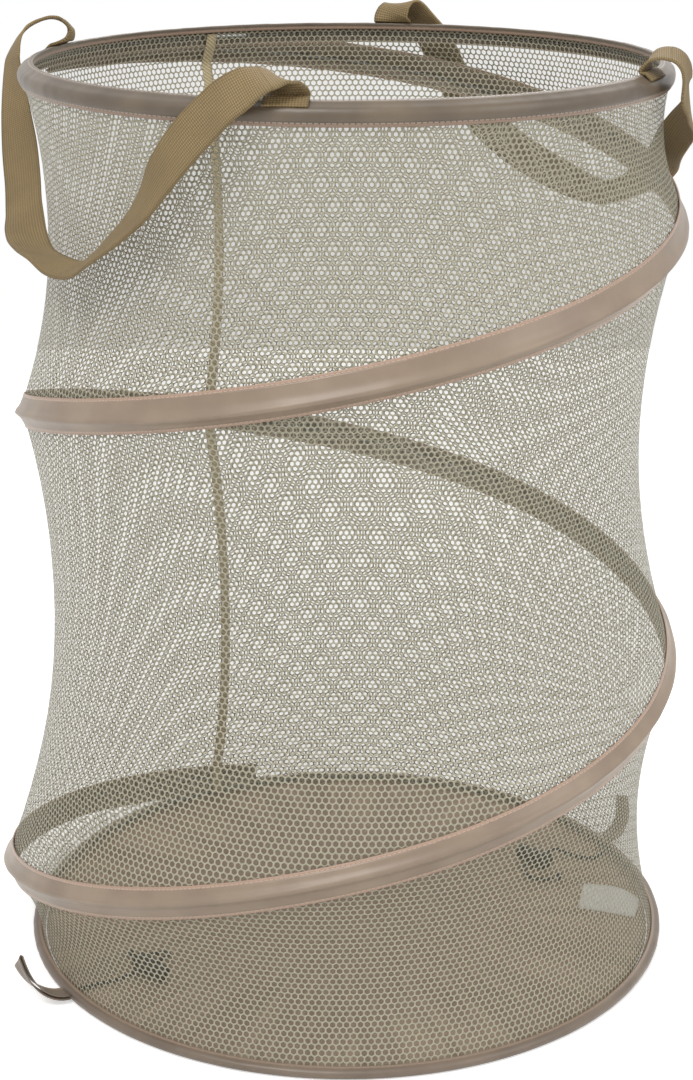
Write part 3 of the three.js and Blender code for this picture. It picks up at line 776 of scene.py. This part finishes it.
def spiral_wire(material):
    wire = dress(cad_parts["spiral_wire"], material)
    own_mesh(wire)


# Rim casing, as (share of its width in from the bead, share of its height down from the hem), and
# how far its tape's middle lies inside the solid's skin
RIM_WIDTH = 9.2 * MM
RIM_HEIGHT = 13.3 * MM
RIM_INSET = 0.45 * MM
RIM_POINTS = 34
RIM_SHARES = [
    (0.891, 0.293),
    (0.93, 0.1),
    (0.985, 0.015),
    (0.84, 0),
    (0.7, 0.02),
    (0.6, 0.075),
    (0.4, 0.17),
    (0.228, 0.24),
    (0.12, 0.3),
    (0.03, 0.42),
    (0, 0.56),
    (0.02, 0.7),
    (0.08, 0.83),
    (0.16, 0.93),
    (0.22, 1),
]


def rounded(points, count):
    """A smooth outline through points of (radius, height)."""
    line = smooth_line([(r, 0, z) for r, z in points], count)
    return [(p.x, p.z) for p in line]


def rim(material):
    """The rim's tape, with puckers that are deepest at its middle."""
    top = HEIGHT - RIM_INSET
    corners = [
        (RIM_RADIUS - inward * RIM_WIDTH - RIM_INSET, top - down * RIM_HEIGHT)
        for inward, down in RIM_SHARES
    ]
    outline = rounded(corners, RIM_POINTS)

    def pucker(angle):
        shift = []
        for k in range(len(outline)):
            share = k / (len(outline) - 1)
            deep = math.sin(math.pi * share) ** 0.5
            wave = ring_ripple(5, 22, angle, 2 * share)
            fine = ring_ripple(6, 70, angle, 3 * share)
            shift.append((deep * (0.3 * wave + 0.14 * fine) * MM, deep * 0.18 * MM * wave))
        return shift

    casing = revolve("rim_tape", outline, pucker)
    dress(casing, material, "top_ring", ["rim_casing"])


# Base binding, as (radius, height) in mm, from its upper edge round to its hem under the base
BINDING_OUTLINE = [
    (210.3, 6.2),
    (212.4, 6.1),
    (214.3, 5.5),
    (215.4, 4.4),
    (215.55, 3.0),
    (215.2, 1.5),
    (214.2, 0.55),
    (212.0, 0.45),
    (207.6, 0.45),
]
BINDING_POINTS = 24
# The least height of the middle of the binding's tape
GROUND_CLEARANCE = 0.42 * MM


def binding(material):
    """The base's tape, with puckers that stay clear of the ground."""
    outline = rounded([(r * MM, z * MM) for r, z in BINDING_OUTLINE], BINDING_POINTS)

    def pucker(angle):
        shift = []
        for k, (_, z) in enumerate(outline):
            share = k / (len(outline) - 1)
            deep = math.sin(math.pi * share) ** 0.6
            wave = ring_ripple(7, 26, angle, 2 * share)
            lift = 0.25 * MM * deep * wave
            rise = lift * 0.5
            shift.append((lift, max(rise, GROUND_CLEARANCE - z) if z < MM else rise))
        return shift

    edge = revolve("base_tape", outline, pucker)
    dress(edge, material, "base", ["base_binding"])


def base_cloth():
    """The base: a cloth disc drawn tight, with creases that run in from its edge."""
    rings, spokes = 44, 300
    inner, outer = 4 * MM, 207.0 * MM
    rows = []
    for i in range(spokes):
        angle = START_ANGLE - TURN * i / spokes
        row = []
        for k in range(rings):
            share = k / (rings - 1)
            r = mix(inner, outer, share)
            creases = ring_ripple(8, 16, angle, 1.6 * share)
            broad = ring_ripple(9, 14 * r, angle, 0)
            hold = 1 - share**10
            lift = hold * MM * (1.0 + 1.5 * max(creases, 0) * share**1.5 + 0.9 * broad)
            row.append(polar(r, angle, 0.9 * MM + max(lift, 0)))
        rows.append(row)
    disc = surface("base_disc", rows, closed=True,
                   uv=lambda i, k: (TURN * outer * i / spokes, outer * k / (rings - 1)))
    shape = bmesh.new()
    shape.from_mesh(disc.data)
    shape.verts.ensure_lookup_table()
    loop = [shape.verts[i * rings] for i in range(spokes)]
    shape.faces.new(loop if loop[0].co.cross(loop[1].co).z > 0 else loop[::-1])
    shape.to_mesh(disc.data)
    shape.free()
    thicken(disc, 0.6 * MM)
    dress(disc, base_look(), "base", ["base_panel"])


# Handles
WEBBING_WIDTH = 25 * MM
WEBBING_THICKNESS = 1.6 * MM
FOLD_START = (RIM_RADIUS - 8.5 * MM, HEIGHT + WEBBING_THICKNESS)
FOLD_STEP = 5.5 * MM
SEWN_LEAN = math.radians(-40)
# Radius and height of the two stations that are sewn down on the rim's ledge
SEAT = ((198.7 * MM, 582.5 * MM), (194.5 * MM, 586.2 * MM))
HANDLE_REACH = 15 * MM
HANDLE_DROP = 108 * MM
# The fine steps between two stations of a strap, and how many stations past its seat it is split
FINE_STEPS = 8
SPLIT = 3.5
# A handle's middle and half span in degrees, its two folds as (bend, tilt of the crease) step by
# step in degrees, and its loop as shares: of the half span, of reach and drop, and of a quarter
# turn for its twist
HANDLES = {
    "left": (
        -149.5,
        50,
        [
            (44, 43),
            (52, 29),
            (47, 24),
            (12, 22),
            (13, 34),
            (20, 44),
            (8, 49),
            (4, 53),
        ],
        [
            (0, 0),
            (50, 36),
            (44, 15),
            (25, 18),
            (24, 15),
            (14, 14),
            (7, 16),
            (13, 18),
            (15, 9),
            (10, -15),
            (9, -30),
            (9, -37),
        ],
        [
            (0.71, 0.607, 0.192, 0.16),
            (0.611, 0.493, 0.382, 0.24),
            (0.523, 0.22, 0.56, 0.42),
            (0.421, 0.08, 0.714, 0.57),
            (0.308, 0.013, 0.845, 0.64),
            (0.2, -0.08, 0.952, 0.68),
            (0.095, -0.047, 0.997, 0.88),
            (-0.04, -0.027, 0.981, 1.05),
            (-0.175, 0.04, 0.968, 1.08),
            (-0.322, 0.013, 0.921, 0.92),
            (-0.461, -0.027, 0.826, 0.68),
            (-0.587, 0.067, 0.695, 0.7),
            (-0.696, 0.36, 0.532, 0.74),
            (-0.772, 0.7, 0.327, 0.62),
        ],
    ),
    "right": (
        27.75,
        52.75,
        [
            (36, 45),
            (45, 14),
            (48, 22),
            (42, 17),
            (22, 24),
            (4, 22),
            (-2, 14),
            (4, 20),
            (8, 35),
            (8, 45),
        ],
        [
            (50, 10),
            (45, 12),
            (30, 10),
            (22, 8),
            (28, 8),
            (26, 10),
            (16, 14),
            (8, 14),
        ],
        [
            (0.79, 1.187, 0.392, 0),
            (0.685, 1.1, 0.609, 0),
            (0.58, 1.133, 0.762, 0),
            (0.455, 1.133, 0.873, 0.03),
            (0.34, 1.133, 0.943, 0.1),
            (0.235, 1.167, 0.98, 0.28),
            (0.145, 1.233, 0.975, 0.52),
            (0.065, 1.333, 0.938, 0.72),
            (-0.005, 1.4, 0.878, 0.7),
            (-0.07, 1.547, 0.785, 0.46),
            (-0.13, 1.487, 0.706, 0.38),
            (-0.205, 1.147, 0.623, 0.34),
            (-0.29, 0.847, 0.549, 0.3),
            (-0.39, 0.753, 0.456, 0.24),
            (-0.49, 0.7, 0.387, 0.2),
            (-0.59, 0.667, 0.331, 0.17),
            (-0.69, 0.633, 0.285, 0.14),
            (-0.78, 0.653, 0.234, 0.12),
            (-0.855, 0.7, 0.188, 0.1),
            (-0.905, 0.767, 0.146, 0.1),
        ],
    ),
}


def tangent(angle):
    return polar(1, angle + math.pi / 2)


def fold(angle, toward, turns):
    """Places and width directions of a strap's fold; each step turns about a tilted crease."""
    side = tangent(angle) * toward
    along = Matrix.Rotation(toward * SEWN_LEAN, 3, side) @ Vector((0, 0, 1))
    places, sides = [polar(FOLD_START[0], angle, FOLD_START[1])], [side]
    for bend, tilt in turns:
        tilt = math.radians(tilt)
        crease = side * math.cos(tilt) + along * math.sin(tilt)
        turn = Matrix.Rotation(toward * math.radians(bend), 3, crease)
        side, along = turn @ side, turn @ along
        places.append(places[-1] + along * FOLD_STEP)
        if len(places) > 2:
            sides[-1] = (sides[-1] + side).normalized()
        sides.append(side)
    return places, sides


def handle_line(middle, half_span, first_turns, second_turns, shares):
    """Stations of one whole strap: each a place and the direction of its width."""
    ends = []
    for toward, turns in ((-1, first_turns), (1, second_turns)):
        angle = middle - toward * half_span
        places, sides = fold(angle, toward, turns)
        places = [polar(r, angle, z) for r, z in SEAT] + places
        sides = [sides[0]] * len(SEAT) + sides
        ends.append((places, [-side for side in sides]))
    (places, sides), (far_places, far_sides) = ends
    route = []
    for share, out, down, _ in shares:
        radius, height = RIM_RADIUS + out * HANDLE_REACH, HEIGHT - down * HANDLE_DROP
        route.append(polar(radius, middle + share * half_span, height))
    hung = [places[-1], *route, far_places[-1]]
    for i, (share, _, _, twist) in enumerate(shares):
        outward = polar(1, middle + share * half_span)
        flat = (hung[i + 2] - hung[i]).cross(outward).normalized()
        turn = twist * math.pi / 2
        sides.append(-flat * math.cos(turn) + outward * math.sin(turn))
    places = [*places, *route, *far_places[::-1]]
    sides = [*sides, *far_sides[::-1]]
    fine = FINE_STEPS * (len(places) - 1) + 1
    return list(zip(smooth_line(places, fine), smooth_line(sides, fine)))


def handle(side, numbers, material):
    """A strap in three pieces, split in its folds: two sewn ends and the loop that swings."""
    middle, half_span, *tables = numbers
    middle = math.radians(middle)
    stations = handle_line(middle, math.radians(half_span), *tables)
    cut = int(FINE_STEPS * (len(SEAT) + SPLIT))
    body = f"{side}_handle"
    ends = (("first_end", stations[: cut + 1], 1), ("second_end", stations[-cut - 1 :], -1))
    loop = ribbon(f"{side}_strap", stations[cut:-cut], WEBBING_WIDTH, curl=0.4 * MM, edge=0.25 * MM)
    thicken(loop, WEBBING_THICKNESS)
    dress(loop, material, body, [f"{side}_handle_loop"])
    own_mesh(loop)
    for word, part, way in ends:
        end = ribbon(f"{side}_strap_{word}", part, WEBBING_WIDTH, curl=0.2 * MM)
        thicken(end, WEBBING_THICKNESS)
        dress(end, material, None, [f"{side}_handle_{word}"])
        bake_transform(end)


# Tabs: the angle of the root, and how far the tip lies out, across and up from it
TABS = {
    "left": (math.radians(-146.3), 21.4 * MM, -24.5 * MM, 18.6 * MM),
    "right": (math.radians(28.2), 20 * MM, 9 * MM, 25 * MM),
}
TAB_WIDTH = 12 * MM
TAB_FOLD = 0.8 * MM
TAB_STEPS = 16
# How far ahead along a tab its direction is taken
AHEAD = 0.05


def tab(side, angle, out, across, up, material):
    """One tape folded back on itself at its tip, with both ends sewn into the binding."""
    root = polar(BASE_RADIUS + 0.7 * MM, angle, 4.3 * MM)
    outward, sideways = polar(1, angle), tangent(angle)

    def place(share):
        swing, climb = math.sin(share * math.pi / 2), Vector((0, 0, up * share**2))
        return root + outward * (out * swing) + sideways * (across * share**2) + climb

    layers = {1: [], -1: []}
    for facing, layer in layers.items():
        for i in range(TAB_STEPS + 1):
            share = i / TAB_STEPS
            along = (place(share + AHEAD) - place(share)).normalized()
            width = (sideways - along * sideways.dot(along)).normalized()
            layer.append((place(share) + along.cross(width) * (facing * TAB_FOLD), width))
    tip = layers[1][-1][0].lerp(layers[-1][-1][0], 0.5)
    along = (place(1 + AHEAD) - place(1)).normalized()
    stations = layers[1] + [(tip + along * TAB_FOLD, layers[1][-1][1])] + layers[-1][::-1]
    loop = ribbon(f"{side}_tab", stations, TAB_WIDTH, across=7, curl=0.4 * MM)
    thicken(loop, 0.7 * MM)
    dress(loop, material, "base", [f"{side}_tape_tab"])


# Label: the share of its length along it, the share of its width that it rises there, and its lean
LABEL_SHARES = [
    (0, 0.03, 0),
    (0.17, 0.11, 0.2),
    (0.45, 0.19, 0.34),
    (0.75, 0.21, 0.32),
    (1, 0.2, 0.28),
]
LABEL_LENGTH = 40 * MM
LABEL_WIDTH = 25 * MM
LABEL_POINTS = 25


def care_label():
    angle, turn = math.radians(-0.5), math.radians(166)
    root = polar(202.6 * MM, angle, 2.1 * MM)
    inward, sideways = polar(1, turn), -tangent(turn)
    places, sides = [], []
    for run, up, lean in LABEL_SHARES:
        climb = Vector((0, 0, up * LABEL_WIDTH))
        places.append(root + inward * (run * LABEL_LENGTH) + climb)
        sides.append(sideways + Vector((0, 0, lean)))
    stations = list(zip(smooth_line(places, LABEL_POINTS), smooth_line(sides, LABEL_POINTS)))
    label = ribbon("plain_label", stations, LABEL_WIDTH, curl=0.8 * MM)
    thicken(label, 0.3 * MM)
    dress(label, label_look(), "base", ["care_label"])


# Satin tapes: dark, light and edge colour, width, and where across it the rows of stitches run
tape_material = satin_look(
    "casing_satin", rgb(132, 114, 98), rgb(164, 145, 124), rgb(184, 154, 134),
    TAPE_WIDTH, [1.6 * MM, 20.4 * MM],
)
rim_material = satin_look(
    "rim_satin", rgb(86, 74, 62), rgb(122, 108, 90), rgb(158, 132, 114),
    23 * MM, [6.2 * MM, 20.6 * MM],
)
binding_material = satin_look(
    "binding_satin", rgb(104, 90, 78), rgb(136, 120, 104), rgb(158, 136, 116),
    15 * MM, [13.4 * MM],
)
webbing_material = webbing_look()
mesh_wall()
seam()
spiral_tape(tape_material)
spiral_wire(steel_material)
rim(rim_material)
binding(binding_material)
base_cloth()
for handle_side, handle_numbers in HANDLES.items():
    handle(handle_side, handle_numbers, webbing_material)
for tab_side, numbers in TABS.items():
    tab(tab_side, *numbers, binding_material)
care_label()
for node in ("base_hoop_wire", "top_hoop_wire"):
    dress(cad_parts[node], steel_material)
sleeve_material = steel_look("sleeve_steel", 200)
for node in ("base_hoop_sleeve", "top_hoop_sleeve"):
    dress(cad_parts[node], sleeve_material)


# Studio
WORLD_LEVEL = 0.6
FLOOR_GLOW = 0.5
FLOOR_REACH = 1.6
FLOOR_DROP = 0.5 * MM
# Lamps: name, place and size in metres, power in watts; all aim at one height on the axis
AIM_HEIGHT = 0.3
LAMPS = [
    ("key", (-0.8, -1.7, 2.6), 1.1, 40),
    ("fill", (1.9, -1.2, 1.4), 1.4, 14),
    ("back", (0.4, 1.9, 2.2), 1.4, 20),
]


def seen_ray(tree):
    """1 for what the eye, a mirror or a glass sees, 0 for light on the object."""
    path = tree.nodes.new("ShaderNodeLightPath")
    seen = path.outputs["Is Camera Ray"]
    for word in ("Is Glossy Ray", "Is Transmission Ray"):
        either = tree.nodes.new("ShaderNodeMath")
        either.operation = "MAXIMUM"
        tree.links.new(seen, either.inputs[0])
        tree.links.new(path.outputs[word], either.inputs[1])
        seen = either.outputs[0]
    return seen


def studio():
    floor_mesh = bpy.data.meshes.new("floor")
    signs = ((-1, -1), (1, -1), (1, 1), (-1, 1))
    corners = [(x * FLOOR_REACH, y * FLOOR_REACH, 0) for x, y in signs]
    floor_mesh.from_pydata(corners, [], [(0, 1, 2, 3)])
    floor = add("floor", floor_mesh)
    floor.location.z = -FLOOR_DROP
    look = Look("floor", 0.9)
    look.set("Base Color", (0.8, 0.8, 0.79, 1))
    look.set("Emission Color", (1, 1, 1, 1))
    look.set("Emission Strength", look.math("MULTIPLY", seen_ray(look.tree), FLOOR_GLOW))
    floor_mesh.materials.append(look.material)

    for name, place, size, power in LAMPS:
        data = bpy.data.lights.new(name, "AREA")
        data.size = size
        data.energy = power
        lamp = add(name, data)
        lamp.location = place
        aim = Vector((0, 0, AIM_HEIGHT)) - lamp.location
        lamp.rotation_euler = aim.to_track_quat("-Z", "Y").to_euler()

    world = bpy.data.worlds.new("studio")
    bpy.context.scene.world = world
    world.use_nodes = True
    nodes, links = world.node_tree.nodes, world.node_tree.links
    backdrop = nodes["Background"]
    backdrop.inputs["Color"].default_value = (1, 1, 1, 1)
    level = nodes.new("ShaderNodeMath")
    level.operation = "MULTIPLY_ADD"
    links.new(seen_ray(world.node_tree), level.inputs[0])
    level.inputs[1].default_value = 1 - WORLD_LEVEL
    level.inputs[2].default_value = WORLD_LEVEL
    links.new(level.outputs[0], backdrop.inputs["Strength"])
    bpy.context.scene.view_settings.view_transform = "Standard"


studio()
